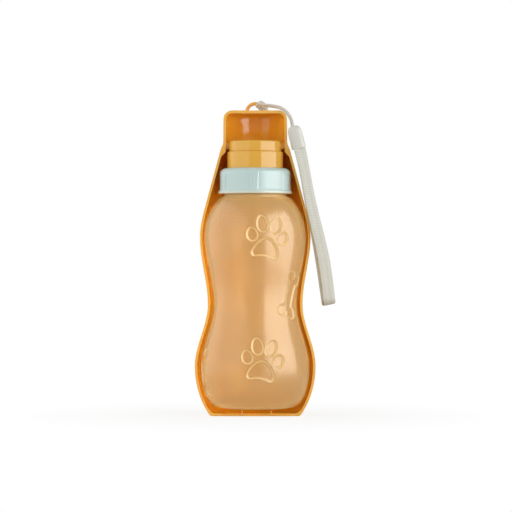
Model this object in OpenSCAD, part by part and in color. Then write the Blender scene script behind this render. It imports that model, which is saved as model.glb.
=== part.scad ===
// Travel water bottle for a dog: a squeeze bottle with a screw collar and a valved spout,
// held in a half-shell trough that swings open on the spout's two pins, and a wrist strap.
// The trough's flat foot stands on the plane z = 0. +Z is up, the bottle's axis is the Z axis,
// and the trough lies behind the bottle, on the +Y side.

/* [Squeeze bottle] */
// Radius of the bottle at its lower bulge
bottle_low_r = 38.2; // [36:0.1:41]
// Radius of the bottle at its waist
bottle_waist_r = 29.5; // [27.5:0.1:31.5]
// Radius of the bottle at its upper bulge
bottle_top_r = 35.9; // [34.5:0.1:37.5]
// Radius of the flat on the bottle's base
bottle_base_r = 24; // [20:0.1:26]
// Width of the ring that the bottle stands on, round its hollow base
foot_ring_w = 2.5; // [2:0.5:5]
// Depth of the hollow in the bottle's base
push_up = 2.4; // [1:0.1:4]
// Height of the lower bulge above the bottle's base
low_rise = 29; // [27:0.1:31]
// Height of the waist above the lower bulge
waist_rise = 43.2; // [38:0.1:50]
// Height of the upper bulge above the waist
top_rise = 47.1; // [42:0.1:54]
// Half-height of the ellipse that shapes the shoulder
shoulder_arch = 37; // [35:0.1:39]
// Wall of the bottle
bottle_wall = 1.4; // [1.1:0.1:1.8]

/* [Pressed marks] */
// Depth of the paw prints and bones pressed into the bottle
mark_depth = 0.7; // [0.4:0.1:1]
// Width of a paw's outer toes
outer_toe_w = 7.8; // [7:0.1:8.6]
// Width of a paw's inner toes
inner_toe_w = 8.2; // [7.4:0.1:9]
// Length of a bone, between the middles of its ends
bone_span = 28; // [24:0.5:32]
// Width of a bone's shaft
bone_shaft_w = 5.4; // [4:0.1:6]
// Radius of the four knobs of a bone
bone_knob_r = 3.4; // [3:0.1:4]

/* [Neck] */
// Outside radius of the neck
neck_r = 21; // [19.5:0.1:22]
// How far the plain ring at the foot of the neck stands out of it
neck_ring_out = 0.9; // [0.5:0.1:1.1]
// Height of the ring at the foot of the neck
neck_ring_h = 1.8; // [1.2:0.1:2.4]
// How far the shoulder ends outside that ring
neck_flare = 1.5; // [1:0.1:2.2]
// Height of the neck above its ring
neck_h = 12.4; // [11:0.1:14]
// Wall of the neck
neck_wall = 2; // [1.6:0.1:2.4]

/* [Screw collar] */
// Room for the screw thread between the neck and the collar
thread_room = 1.4; // [1.2:0.1:1.8]
// Wall of the collar at its grip pillars
collar_wall = 2.45; // [2:0.05:2.8]
// How far the bottom flange stands out of the pillars
flange_out = 0.95; // [0.5:0.05:1.2]
// Height of the bottom flange
flange_h = 2.2; // [1.6:0.1:3]
// Thickness of the lip that holds the spout down
lip_t = 2.3; // [1.8:0.1:2.8]
// Radius of the collar's rounded top edge
collar_edge_r = 5; // [4:0.1:5.2]
// How far the panels keep clear of the flange
panel_foot = 0.6; // [0.3:0.1:1]
// How far the panels run up into the rounded edge
panel_head = 2.2; // [1:0.1:3]
// Number of grip pillars
pillar_count = 6; // [5:1:8]
// Angle that one pillar spans
pillar_angle = 14; // [10:1:18]
// Depth of the panels between the pillars
panel_depth = 0.85; // [0.4:0.05:1]
// Radius of the fine ribs on the pillars
rib_r = 0.55; // [0.4:0.05:0.7]

/* [Spout] */
// Width of the ledge that the collar clamps, round the lower spout ring
clamp_ledge = 2.5; // [2:0.1:2.8]
// Wall of the lower spout ring
spout_wall = 2.6; // [2:0.1:3]
// Height of the lower spout ring above the collar
spout_rise = 11.6; // [10:0.1:13]
// How far the upper ring is set in from the lower one
cap_step = 1.3; // [0.8:0.1:1.8]
// Height of the upper ring
cap_h = 7.4; // [6.8:0.1:8.4]
// Thickness of the upper ring's top
cap_top_t = 2.2; // [1.6:0.1:2.6]
// Wall of the upper ring
cap_wall = 4.6; // [3.6:0.1:5]
// Radius of the upper ring's rounded edge
cap_edge_r = 1.2; // [0.8:0.1:1.6]
// Radius of the outlet in the upper ring
outlet_r = 7; // [5:0.1:9]
// Thickness of the flange that the collar clamps
clamp_t = 1.9; // [1.5:0.1:2.4]
// Thickness of the neck gasket
gasket_t = 1.5; // [1:0.1:2]
// Length of the spigot inside the neck
spigot_h = 6; // [4:0.1:8]
// Wall of the spigot
spigot_wall = 1.8; // [1.4:0.1:2.2]
// Thickness of the shelf under the valve
shelf_t = 1.6; // [1.2:0.1:2.2]
// Radius of the hole in the shelf
shelf_hole_r = 10; // [9:0.1:11]
// Radius of the valve's rim
valve_r = 13; // [12:0.1:14]
// Thickness of the valve's rim
valve_rim_t = 1.4; // [1:0.1:1.8]
// Thickness of the valve's middle
valve_t = 1; // [0.8:0.1:1.4]
// Width of the valve's stiff border inside the shelf's hole
valve_border = 1.4; // [1:0.1:2]
// Width of each slit in the valve
slit_w = 0.25; // [0.2:0.05:0.4]

/* [Pivot] */
// Radius of the two pins
pin_r = 2.45; // [2.1:0.05:2.7]
// Radial play of the pins in the trough's ears
pin_play = 0.08; // [0.04:0.01:0.1]
// Height of the pins above the foot of the upper ring
pin_rise = 3.9; // [3.5:0.1:4.2]

/* [Trough] */
// Wall of the trough
tray_wall = 1.8; // [1.5:0.1:2.2]
// Thickness of the trough's floor
floor_t = 1.8; // [1.5:0.1:2.4]
// Gap between the bottle's base and the floor
base_gap = 4; // [3.6:0.1:5]
// Gap round the bottle's lower bulge
low_gap = 2.2; // [1.2:0.1:3]
// Gap round the bottle's waist
waist_gap = 1.8; // [1.2:0.1:3]
// Gap round the bottle's upper bulge
top_gap = 0.95; // [0.8:0.05:2]
// Half-height of the ellipse that shapes the trough's foot
foot_arch = 52; // [46:0.5:60]
// Radius of the trough where its shoulder turns straight
shoulder_r = 34; // [33:0.1:35]
// Height of that place above the upper bulge
shoulder_rise = 24.9; // [22:0.1:28]
// How far the trough's ears stand out of its throat, just below the pins
ear_out = 2; // [1.5:0.1:2.5]
// Height of the slope between the trough's side and the flat inside of an ear
ear_slope_h = 4.4; // [3:0.1:5]
// Height of the ear's flat inside below the pin
ear_flat_h = 1; // [0.6:0.1:1.4]
// Gap between the lower spout ring and the trough's throat
throat_gap = 0.9; // [0.6:0.1:1.2]
// Height of the throat's inside above the spout
throat_head = 19.7; // [16:0.1:24]
// Thickness of the throat's end wall
end_wall_t = 2.1; // [1.6:0.1:2.6]
// Outside radius of the end wall's edge
end_edge_r = 5.6; // [4.5:0.1:6.5]
// How far the sides reach forward of the bottle's axis
rim_forward = 4.5; // [4:0.1:6]
// How far the end wall's edge is set back behind the bottle's axis
end_set_back = 4; // [3:0.1:6]
// Radius of the hanging loop, to the middle of its bar
loop_r = 5.95; // [5.4:0.05:6.5]
// Radius of the loop's bar
loop_bar_r = 1.25; // [1:0.05:1.4]
// Distance of the loop behind the bottle's axis
loop_back = 19.2; // [18:0.1:20]

/* [Wrist strap] */
// Diameter of the cord
cord_d = 1.5; // [1.2:0.1:1.7]
// Play of the knot round the loop's bar
knot_play = 0.65; // [0.5:0.05:0.9]
// How much the cord is pressed flat where it bears on the bar
knot_flat = 0.1; // [0.05:0.05:0.2]
// Width of the end cap
end_cap_w = 9.3; // [9:0.1:11]
// Thickness of the end cap
end_cap_t = 5; // [4.4:0.1:5.4]
// Length of the end cap
end_cap_h = 16.2; // [14:0.1:19]
// Width of the webbing
webbing_w = 8.2; // [7:0.1:8.8]
// Thickness of the webbing
webbing_t = 1.1; // [0.8:0.1:1.4]
// Length of the webbing's loop below the end cap
webbing_h = 111; // [90:1:120]

/* [Hidden] */
$fn = 96;
past = 1;

// Overlaps that join the parts of one piece, and running and seating clearances
sunk = 0.4;
ear_round = 0.3;
pin_proud = 0.3;
collar_play = 0.3;
lip_play = 0.1;
seat_play = 0.2;
skirt_play = 0.3;

// Radii from the neck outwards and up to the spout
neck_ring_r = neck_r + neck_ring_out;
neck_root_r = neck_ring_r + neck_flare;
neck_bore_r = neck_r - neck_wall;
collar_bore_r = neck_r + thread_room;
collar_r = collar_bore_r + collar_wall;
panel_r = collar_r - panel_depth;
clamp_r = collar_bore_r - collar_play;
spigot_r = neck_bore_r - seat_play;
spout_r = clamp_r - clamp_ledge;
spout_bore_r = spout_r - spout_wall;
cap_r = spout_r - cap_step;

// Heights along the bottle's axis, from the floor up
base_z = floor_t + base_gap;
low_z = base_z + low_rise;
waist_z = low_z + waist_rise;
top_z = waist_z + top_rise;
neck_root_z = top_z + shoulder_arch * sqrt(1 - pow(neck_root_r / bottle_top_r, 2));
neck_ring_z = neck_root_z + neck_ring_h;
rim_z = neck_ring_z + neck_h;
clamp_z = rim_z + gasket_t;
lip_z = clamp_z + clamp_t + lip_play;
collar_z = neck_ring_z + skirt_play;
collar_top_z = lip_z + lip_t;
cap_z = collar_top_z + spout_rise;
valve_z = cap_z - valve_rim_t - seat_play;
cap_top_z = cap_z + cap_h;
pivot_z = cap_z + pin_rise;
throat_top_z = cap_top_z + throat_head;
tray_top_z = throat_top_z + end_wall_t;

// Radii of the trough, which follow the bottle's and the spout's
throat_r = spout_r + throat_gap;
throat_out_r = throat_r + tray_wall;
tray_low_r = bottle_low_r + low_gap + tray_wall;
tray_waist_r = bottle_waist_r + waist_gap + tray_wall;
tray_top_r = bottle_top_r + top_gap + tray_wall;

// Trough: where the shoulder turns straight, and the ears round the pins
shoulder_z = top_z + shoulder_rise;
ear_r = throat_out_r + ear_out;
ear_z = pivot_z - pin_r - ear_round;
ear_top_z = pivot_z + pin_r + ear_round;
shoulder_slope = (ear_r - shoulder_r) / (ear_z - shoulder_z);
ear_face_z = pivot_z - pin_r - ear_flat_h;
ear_pad_z = ear_face_z - ear_slope_h;
pin_end = throat_out_r + pin_proud;

// Knot, round the top of the loop's bar
loop_z = tray_top_z - sunk;
knot_x = 0.5;
knot_z = loop_z + loop_r;
knot_ring_r = loop_bar_r + knot_play + cord_d / 2;

// Marks: the turn of each one's middle round the axis, its height and its lean to the right
PAWS = [[11.5, 117.6, 8.5], [5.5, 33, 8.5]];
BONES = [[55, 84.5, 16], [-68, 36, -8]];

// Strap, in heights above the trough's top: the middle of the end cap's lower end, the leans of
// the end cap and the webbing in the front view, and the gap inside the folded webbing
end_cap_foot = [30.5, -7.2, -27.2];
end_cap_lean = 14;
webbing_lean = 10.8;
webbing_gap = 2.4;

// Route of the doubled cord from the knot over the trough's corner to the end cap
CORD_ROUTE = [
    [1, 16, 3.4], [3.5, 14.6, 3.9], [7, 12.8, 4], [10.8, 10.4, 3.6], [14.6, 7, 2.8],
    [18.2, 3.2, 1.4], [21.3, -0.2, -1], [23.6, -2.8, -3.9], [25.1, -5, -7.1],
    [25.8, -6.6, -10.2], [26.5, -7.2, -13.2]
];
strand_gap = 0.1;

// A smooth step between two radii: r0 and r1 at heights z0 and z1, with slopes s0 and s1
function bend(z0, r0, s0, z1, r1, s1, n) = [
    for (i = [0 : n - 1])
        let (t = i / n, h = z1 - z0)
        [
            (2 * pow(t, 3) - 3 * t * t + 1) * r0 + (pow(t, 3) - 2 * t * t + t) * h * s0
                + (3 * t * t - 2 * pow(t, 3)) * r1 + (pow(t, 3) - t * t) * h * s1,
            z0 + h * t
        ]
];

// A quarter of a squarish ellipse, from a flat base out to a bulge
function base_curve(flat_r, bulge_r, flat_z, bulge_z, n) = [
    for (i = [0 : n - 1])
        let (a = 90 * i / n)
        [
            flat_r + (bulge_r - flat_r) * pow(sin(a), 0.87),
            bulge_z - (bulge_z - flat_z) * pow(cos(a), 0.87)
        ]
];

// Part of an ellipse centred on the axis, between two angles above its widest place
function arch_curve(wide_r, mid_z, arch, from, to, n) = [
    for (i = [0 : n])
        let (a = from + (to - from) * i / n)
        [wide_r * cos(a), mid_z + arch * sin(a)]
];

// The hollow of a base, from the axis out to its foot ring
function push_up_curve(hollow_r, flat_z, n) = [
    for (i = [0 : n])
        [hollow_r * i / n, flat_z + push_up * (1 - pow(i / n, 2))]
];

// The squeeze bottle's outline, moved in by inset, up to where it is end_r wide
function bottle_outline(inset, end_r) = concat(
    push_up_curve(bottle_base_r - foot_ring_w, base_z + inset, 5),
    base_curve(bottle_base_r - inset, bottle_low_r - inset, base_z + inset, low_z, 8),
    bend(low_z, bottle_low_r - inset, 0, waist_z, bottle_waist_r - inset, 0, 10),
    bend(waist_z, bottle_waist_r - inset, 0, top_z, bottle_top_r - inset, 0, 10),
    arch_curve(bottle_top_r - inset, top_z, shoulder_arch - inset, 0,
        acos(end_r / (bottle_top_r - inset)), 9)
);

// Part of a circle round a middle
function arc(middle, r, from, to, n) = [
    for (i = [0 : n])
        let (a = from + (to - from) * i / n)
        middle + r * [cos(a), sin(a)]
];

// A toe: an egg of width w, narrower at its upper end
function toe_outline(w, h) = [
    for (a = [0 : 24 : 336])
        [w / 2 * cos(a) * (1 - 0.12 * sin(a)), h / 2 * sin(a)]
];

// A paw's pad: two bulging sides, a hollow heel, and rounded corners between them
function pad_outline() = concat(
    arc([0, 4], 4, 56, 124, 4),
    arc([8.6, -8.5], 19.2, 127, 166, 5),
    arc([-7.8, -4.4], 2.3, 170, 292, 6),
    arc([0, -21], 16, 112, 68, 5),
    arc([7.8, -4.4], 2.3, 248, 370, 6),
    arc([-8.6, -8.5], 19.2, 14, 53, 5)
);

// The trough's wall from its foot to its shoulder, moved in by inset, above the height low
function tray_wall_curve(inset, low) =
    let (arch = foot_arch - inset)
    concat(
        arch_curve(tray_low_r - inset, low_z, arch, asin((low - low_z) / arch), -90 / 8, 6),
        bend(low_z, tray_low_r - inset, 0, waist_z, tray_waist_r - inset, 0, 10),
        bend(waist_z, tray_waist_r - inset, 0, top_z, tray_top_r - inset, 0, 10),
        bend(top_z, tray_top_r - inset, 0, shoulder_z, shoulder_r - inset, shoulder_slope, 6),
        [[shoulder_r - inset, shoulder_z]]
    );

// Outline of the trough's outside, from the foot to the end wall
function tray_outside() = concat(
    [[0, 0]],
    tray_wall_curve(0, 0),
    bend(ear_z, ear_r, shoulder_slope, ear_top_z, throat_out_r, 0, 5),
    [[throat_out_r, ear_top_z]],
    edge_curve(throat_out_r, tray_top_z, end_edge_r),
    [[0, tray_top_z]]
);

// Outline of the trough's inside: the wall, the ears' faces and the throat
function tray_inside() =
    let (pad_r = shoulder_r - tray_wall + shoulder_slope * (ear_pad_z - shoulder_z))
    concat(
        [[0, floor_t]],
        tray_wall_curve(tray_wall, floor_t),
        bend(ear_pad_z, pad_r, shoulder_slope, ear_face_z, throat_r, 0, 5),
        [[throat_r, ear_face_z]],
        edge_curve(throat_r, throat_top_z, end_edge_r - end_wall_t),
        [[0, throat_top_z]]
    );

// A quarter round at the top of an outline
function edge_curve(r, z, edge) = [
    for (a = [0 : 15 : 90])
        [r - edge + edge * cos(a), z - edge + edge * sin(a)]
];

function backwards(list) = [for (i = [len(list) - 1 : -1 : 0]) list[i]];

// A tube of diameter d with eight sides, swept along a route and set off to one side of it
module swept_tube(route, d, shift) {
    sides = 8;
    last = len(route) - 1;
    rings = [
        for (i = [0 : last])
            let (
                ahead = route[min(i + 1, last)] - route[max(i - 1, 0)],
                along = ahead / norm(ahead),
                across = cross(along, [0, 1, 0]) / norm(cross(along, [0, 1, 0])),
                up = cross(across, along),
                middle = route[i] + shift * across
            )
            [
                for (k = [0 : sides - 1])
                    middle + d / 2 * (across * cos(360 * k / sides) + up * sin(360 * k / sides))
            ]
    ];
    polyhedron(
        points = [for (ring = rings) each ring],
        faces = concat(
            [[for (k = [0 : sides - 1]) k]],
            [[for (k = [sides - 1 : -1 : 0]) last * sides + k]],
            [
                for (i = [0 : last - 1], k = [0 : sides - 1])
                    let (next = (k + 1) % sides, here = i * sides, there = here + sides)
                    each [[here + k, there + k, there + next], [here + k, there + next, here + next]]
            ]
        ),
        convexity = 6
    );
}

// A plain ring between two radii
module ring(outer_r, inner_r, z, h) {
    translate([0, 0, z])
    difference() {
        cylinder(r = outer_r, h = h);
        translate([0, 0, -past])
        cylinder(r = inner_r, h = h + 2 * past);
    }
}

module paw_outline() {
    polygon(pad_outline());
    for (side = [-1, 1]) {
        translate([side * 11, 8.4])
        rotate(-side * 20)
        polygon(toe_outline(outer_toe_w, 1.28 * outer_toe_w));
        translate([side * 4.9, 16.6])
        rotate(-side * 14)
        polygon(toe_outline(inner_toe_w, 1.46 * inner_toe_w));
    }
}

module bone_outline() {
    square([bone_shaft_w, bone_span], center = true);
    for (x = [-1, 1], y = [-1, 1])
        translate([x * bone_knob_r, y * bone_span / 2])
        circle(r = bone_knob_r, $fn = 32);
    for (y = [-1, 1])
        translate([0, y * bone_span / 2])
        square([2 * bone_knob_r, bone_knob_r], center = true);
}

// A mark's outline, run outwards through the bottle's side
module through_side(mark) {
    rotate([0, 0, mark[0]])
    translate([0, -bottle_waist_r / 2, mark[1]])
    rotate([90, 0, 0])
    rotate([0, 0, -mark[2]])
    linear_extrude(bottle_low_r)
    children();
}

// What the marks press out of a bottle-shaped solid that is moved in by inset
module pressed_marks(inset) {
    difference() {
        union() {
            for (mark = PAWS)
                through_side(mark)
                paw_outline();
            for (mark = BONES)
                through_side(mark)
                bone_outline();
        }
        rotate_extrude()
        polygon(concat(bottle_outline(inset + mark_depth, neck_bore_r), [[0, neck_root_z]]));
    }
}

module bottle() {
    color("peachpuff", 0.75)
    difference() {
        rotate_extrude()
        polygon(concat(
            bottle_outline(0, neck_root_r),
            [
                [neck_ring_r, neck_root_z], [neck_ring_r, neck_ring_z],
                [neck_r, neck_ring_z], [neck_r, rim_z], [0, rim_z]
            ]
        ));
        pressed_marks(0);
        difference() {
            rotate_extrude()
            polygon(concat(
                bottle_outline(bottle_wall, neck_bore_r),
                [[neck_bore_r, rim_z + past], [0, rim_z + past]]
            ));
            pressed_marks(bottle_wall);
        }
    }
}

module neck_gasket() {
    color("white")
    ring(neck_r, spigot_r, rim_z, gasket_t);
}

module spout_base() {
    color("orange") {
        ring(spigot_r, spigot_r - spigot_wall, clamp_z - gasket_t - spigot_h,
            spigot_h + gasket_t + clamp_t);
        ring(clamp_r, spout_bore_r, clamp_z, clamp_t);
        ring(spout_r, spout_bore_r, clamp_z, cap_z - clamp_z);
        ring(spout_bore_r + past, shelf_hole_r, valve_z - shelf_t, shelf_t);
    }
}

module spout_valve() {
    color("white")
    difference() {
        union() {
            translate([0, 0, valve_z])
            cylinder(r = valve_r, h = valve_rim_t);
            translate([0, 0, valve_z - shelf_t])
            cylinder(r = shelf_hole_r - seat_play, h = shelf_t + valve_rim_t);
        }
        translate([0, 0, valve_z - shelf_t + valve_t])
        cylinder(r = shelf_hole_r - valve_border, h = shelf_t + valve_rim_t);
        for (turn = [0, 90])
            rotate([0, 0, turn])
            translate([-outlet_r, -slit_w / 2, valve_z - shelf_t - past])
            cube([2 * outlet_r, slit_w, valve_t + 2 * past]);
    }
}

module pivot_cap() {
    cap_bore_r = cap_r - cap_wall;
    color("orange")
    difference() {
        union() {
            rotate_extrude()
            polygon(concat(
                [[0, cap_z], [cap_r, cap_z]],
                edge_curve(cap_r, cap_top_z, cap_edge_r),
                [[0, cap_top_z]]
            ));
            translate([0, 0, cap_z - seat_play])
            cylinder(r = spout_bore_r - seat_play, h = cap_h / 2);
            for (side = [0, 180])
                translate([0, 0, pivot_z])
                rotate([0, 90, side])
                translate([0, 0, cap_r - cap_wall / 2])
                cylinder(r = pin_r, h = pin_end - cap_r + cap_wall / 2);
        }
        translate([0, 0, cap_z - past])
        cylinder(r = cap_bore_r, h = cap_h - cap_top_t + past);
        translate([0, 0, cap_z])
        cylinder(r = outlet_r, h = cap_h + past);
    }
}

module collar() {
    panel_z = collar_z + flange_h + panel_foot;
    panel_top_z = collar_top_z - collar_edge_r + panel_head;
    rib_turn = pillar_angle / 4;
    color("mintcream")
    difference() {
        union() {
            rotate_extrude()
            polygon(concat(
                [[0, collar_z], [collar_r, collar_z]],
                edge_curve(collar_r, collar_top_z, collar_edge_r),
                [[0, collar_top_z]]
            ));
            translate([0, 0, collar_z])
            cylinder(r = collar_r + flange_out, h = flange_h);
            for (i = [0 : pillar_count - 1], side = [-rib_turn, rib_turn])
                rotate([0, 0, 360 * i / pillar_count - 92 + side])
                translate([collar_r - rib_r / 3, 0, collar_z + flange_h / 2])
                cylinder(r = rib_r, h = collar_top_z - collar_edge_r - collar_z - flange_h, $fn = 24);
        }
        for (i = [0 : pillar_count - 1])
            rotate([0, 0, 360 * i / pillar_count - 92 + pillar_angle / 2])
            translate([0, 0, panel_z])
            rotate_extrude(angle = 360 / pillar_count - pillar_angle)
            translate([panel_r, 0])
            square([panel_depth + past, panel_top_z - panel_z]);
        translate([0, 0, collar_z - past])
        cylinder(r = collar_bore_r, h = lip_z - collar_z + past);
        translate([0, 0, lip_z - past])
        cylinder(r = spout_r + collar_play, h = lip_t + 2 * past);
    }
}

module tray_section() {
    polygon(concat(tray_outside(), backwards(tray_inside())));
}

module tray() {
    set_back = atan((rim_forward + end_set_back) / (tray_top_z - ear_top_z));
    wide = 2 * tray_low_r;
    color("darkorange") {
        difference() {
            union() {
                rotate_extrude(angle = 180)
                tray_section();
                for (side = [0, 1])
                    mirror([side, 0, 0])
                    rotate([90, 0, 0])
                    linear_extrude(rim_forward)
                    tray_section();
            }
            translate([0, -rim_forward, ear_top_z])
            rotate([-set_back, 0, 0])
            translate([-wide / 2, -wide, 0])
            cube([wide, wide, wide]);
            for (side = [0, 180])
                translate([0, 0, pivot_z])
                rotate([0, 90, side])
                translate([0, 0, throat_r - past])
                cylinder(r = pin_r + pin_play, h = ear_r);
        }
        translate([0, loop_back, loop_z])
        rotate([90, 0, 0])
        rotate_extrude(angle = 180)
        translate([loop_r, 0])
        circle(r = loop_bar_r, $fn = 32);
        for (side = [-loop_r, loop_r])
            translate([side, loop_back, throat_top_z - 1])
            cylinder(r = loop_bar_r, h = loop_z - throat_top_z + 1, $fn = 32);
    }
}

module cord_knot() {
    half = cord_d + strand_gap;
    color("gainsboro")
    translate([0, loop_back, knot_z])
    rotate([0, 90, 0])
    difference() {
        union() {
            for (side = [-1, 1])
                translate([0, 0, knot_x + side * half / 2])
                rotate_extrude()
                translate([knot_ring_r, 0])
                circle(d = cord_d, $fn = 24);
            translate([-knot_ring_r, 0, knot_x - cord_d / 2])
            cylinder(d = cord_d, h = cord_d, $fn = 24);
        }
        translate([0, 0, knot_x - half - past])
        cylinder(r = knot_ring_r - cord_d / 2 + knot_flat, h = 2 * half + 2 * past);
    }
}

module strap_cord() {
    color("gainsboro")
    translate([0, 0, tray_top_z])
    for (side = [-1, 1])
        swept_tube(CORD_ROUTE, cord_d, side * (cord_d + strand_gap) / 2);
}

module cord_end_cap() {
    // Each step of the dome: its share of the height, then of the width and of the thickness
    dome = [[0, 1, 1], [0.7, 1, 1], [0.9, 0.8, 0.86], [1, 0.46, 0.6]];
    color("ghostwhite")
    translate([0, 0, tray_top_z])
    translate(end_cap_foot)
    rotate([0, -end_cap_lean, 0])
    hull()
    for (step = dome, side = [-1, 1])
        translate([side * (end_cap_w * step[1] - end_cap_t * step[2]) / 2, 0, 0])
        cylinder(d = end_cap_t * step[2], h = max(end_cap_h * step[0], end_cap_h / 2), $fn = 24);
}

module strap_webbing() {
    fold = webbing_gap / 2 + webbing_t;
    color("gainsboro")
    translate([0, 0, tray_top_z])
    translate(end_cap_foot)
    rotate([0, -webbing_lean, 0])
    rotate([0, -90, 0])
    translate([0, 0, -webbing_w / 2])
    linear_extrude(webbing_w)
    difference() {
        union() {
            translate([-webbing_h + fold, -fold])
            square([webbing_h - fold, 2 * fold]);
            translate([-webbing_h + fold, 0])
            circle(r = fold, $fn = 32);
        }
        translate([-webbing_h + fold, -webbing_gap / 2])
        square([webbing_h, webbing_gap]);
        translate([-webbing_h + fold, 0])
        circle(d = webbing_gap, $fn = 24);
    }
}

bottle();
neck_gasket();
spout_base();
spout_valve();
pivot_cap();
collar();
tray();
cord_knot();
strap_cord();
cord_end_cap();
strap_webbing();
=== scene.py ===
"""A dog's travel water bottle: a frosted squeeze bottle with a mint screw collar and amber spout,
hung in the orange half-shell trough that swings on the spout's pins, with a webbing wrist strap."""

from math import acos, asin, atan, copysign, cos, hypot, pi, radians, sin

import bmesh
import bpy
from mathutils import Matrix, Vector


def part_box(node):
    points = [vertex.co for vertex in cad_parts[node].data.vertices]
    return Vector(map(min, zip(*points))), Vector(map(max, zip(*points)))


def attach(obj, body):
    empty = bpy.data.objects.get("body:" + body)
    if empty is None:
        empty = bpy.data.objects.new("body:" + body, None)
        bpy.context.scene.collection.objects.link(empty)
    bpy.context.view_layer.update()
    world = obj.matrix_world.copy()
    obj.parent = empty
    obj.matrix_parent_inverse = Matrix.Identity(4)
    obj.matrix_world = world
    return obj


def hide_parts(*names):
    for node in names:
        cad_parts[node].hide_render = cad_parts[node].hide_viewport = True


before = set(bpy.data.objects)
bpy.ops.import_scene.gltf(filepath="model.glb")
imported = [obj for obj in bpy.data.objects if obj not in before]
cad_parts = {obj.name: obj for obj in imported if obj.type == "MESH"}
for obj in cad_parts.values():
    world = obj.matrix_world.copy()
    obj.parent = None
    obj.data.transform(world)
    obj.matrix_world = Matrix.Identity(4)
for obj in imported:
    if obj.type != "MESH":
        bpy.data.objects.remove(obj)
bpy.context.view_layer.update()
MM = 0.001

# ---------------------------------------------------------------- sizes, in millimetres
EDGE_BREAK = 0.3  # how far the sharp edges of moulded rings are cut back
# Screw collar.
COLLAR_Z, COLLAR_TOP_Z = (corner.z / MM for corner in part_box("collar"))
COLLAR_R, COLLAR_BORE_R, COLLAR_EDGE = 25.2, 22.4, 5.0
FLANGE_OUT, FLANGE_H, FLANGE_EDGE = 0.6, 2.2, 0.35
LIP_T, LIP_PLAY, PILLARS, PILLAR_TURN, PILLAR_ANGLE = 2.3, 0.3, 6, -92, 14
# Panels start this far above the flange and end this far up the rounded shoulder
PANEL_LOW, PANEL_HIGH, PANEL_DEPTH, PANEL_EDGE_W, PANEL_TOP_STEEP = 0.6, 2.2, 0.45, 0.45, 1.3
# Fine ribs on a pillar: their places to both sides, in degrees from its middle
RIB_PLACES, RIB_R, RIB_OUT, RIB_FADE_H = (0, 4.2), 0.6, 0.14, 1.2
# Squeeze bottle
BOTTLE_LOW_R, BOTTLE_WAIST_R, BOTTLE_TOP_R, BOTTLE_BASE_R = 38.2, 29.5, 35.9, 24
BOTTLE_WALL, FOOT_RING_W, PUSH_UP, BASE_SQUARE = 1.4, 2.5, 2.4, 0.87
BASE_Z, LOW_Z, WAIST_Z, TOP_Z = 5.8, 34.8, 78.0, 125.1
SHOULDER_ARCH, SHOULDER_SQUARE, SHOULDER_LEDGE_R = 36.4, 0.86, 25
NECK_RING_R, NECK_R, NECK_WALL, NECK_H = 21.9, 21, 2, 12.4
NECK_RING_Z = COLLAR_Z - 0.3  # the neck's wider ring ends just under the collar
NECK_RIM_Z = NECK_RING_Z + NECK_H
# Low bead round the foot of the neck
BEAD_R, BEAD_HALF_W, BEAD_H = NECK_RING_R + 1.1, 0.6, 0.55
# Marks pressed into the bottle: turn round the axis, height, lean to the right
PAWS = [(12.3, 116.9, 8.5), (6.3, 32.6, 8.5)]
BONES = [(55, 84.7, 16), (-74, 31, -6)]
PAW_DEPTH, BONE_DEPTH, MARK_EDGE_W, MARK_SHRINK = 1.25, 0.8, 1.6, 0.35
PAW_REACH, BONE_REACH = 30, 24
MESH_BANDS = (2.4, 1.3)  # the mesh is made finer twice, this near to a mark's outline
NECK_MILK = 0.9  # how milky the thick neck is, where 1 is the steepest wall of a mark
# The paw's pad is inside two side circles and a top one, and outside a foot one: across, up, radius
PAD_SIDE, PAD_FOOT, PAD_TOP = (8.6, -8.5, 19.2), (0, -21, 16), (0, 2.6, 12.2)
PAD_SIDE_BLEND, PAD_FOOT_BLEND, PAD_TOP_BLEND = 4, 2.6, 2
# Toes on each side of the paw: across, up, lean, width, height
TOES = [(11, 8.4, 20, 7.8, 10), (4.9, 16.6, 14, 8.2, 12)]
TOE_TAPER = 0.24
BONE_SPAN, BONE_SHAFT_W, BONE_KNOB_R, BONE_BLEND = 24, 7.6, 4.2, 1.6
# Spout
SPOUT_R, SPOUT_BORE_R, CAP_R, CAP_BORE_R, OUTLET_R, PIN_R = 19.6, 17.0, 18.3, 13.7, 7.0, 2.45
SPIGOT_R, SPIGOT_WALL, CLAMP_R, CLAMP_T, SHELF_T, SHELF_HOLE_R = 18.8, 1.8, 22.1, 1.9, 1.6, 10
SPIGOT_Z, CAP_Z = (corner.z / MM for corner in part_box("spout_base"))
PIN_END, CAP_TOP_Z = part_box("pivot_cap")[1].x / MM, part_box("pivot_cap")[1].z / MM
CLAMP_Z = NECK_RIM_Z + 1.5
VALVE_Z = CAP_Z - 1.6
PIVOT_Z = CAP_Z + 3.9
SPOUT_EDGE, CAP_EDGE, OUTLET_EDGE, SPIGOT_LEAD_IN, CAP_TOP_T = 0.8, 1.2, 0.6, 0.4, 2.2
SKIRT_PLAY, SKIRT_H, SEAM_GAP = 0.2, 0.2, 0.05  # where the cap sits in the lower ring
PIN_ROOT, PIN_PLAY = 16, 0.08
PIN_BORE = (18, 28)  # from and to, in the ears on each side
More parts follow.
